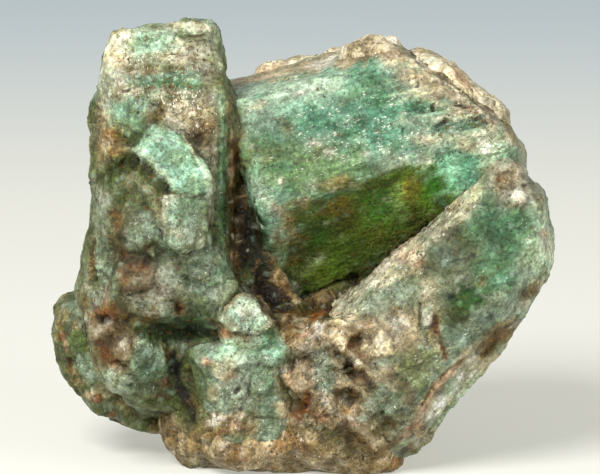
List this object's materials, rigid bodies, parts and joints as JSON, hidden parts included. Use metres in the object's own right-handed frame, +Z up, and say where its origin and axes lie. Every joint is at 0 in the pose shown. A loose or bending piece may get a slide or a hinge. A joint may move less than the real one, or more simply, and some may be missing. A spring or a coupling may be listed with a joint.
{
  "type": "emerald in matrix specimen",
  "caption": "Rough mineral specimen: stout green emerald crystals grown together out of a pale brown granular matrix, resting on a flat broken foot.",
  "frame": {"origin": "middle of the specimen's box, seen from above, on the surface that it rests on", "axes": "+X to the right along the specimen's longest side, -Y towards its best face, +Z up"},
  "size_m": [0.0302, 0.0168, 0.0264],
  "materials": {
    "granular_rock": "rough granular quartz and feldspar, cream to brown with rust stains",
    "emerald": "translucent green beryl, etched and sugary above, smoother and darker below",
    "mottled_beryl": "grey-green beryl mottled with brown and cream grains",
    "milky_beryl": "milky green beryl with a granular cream ridge and rust streaks",
    "pale_beryl": "pale green beryl with a waxy broken surface"
  },
  "bodies": {
    "root": {"matrix": "granular_rock", "main_crystal": "emerald", "upright_crystal": "mottled_beryl", "leaning_crystal": "milky_beryl", "side_crystal": "mottled_beryl", "stub_crystal": "pale_beryl"}
  },
  "joints": []
}
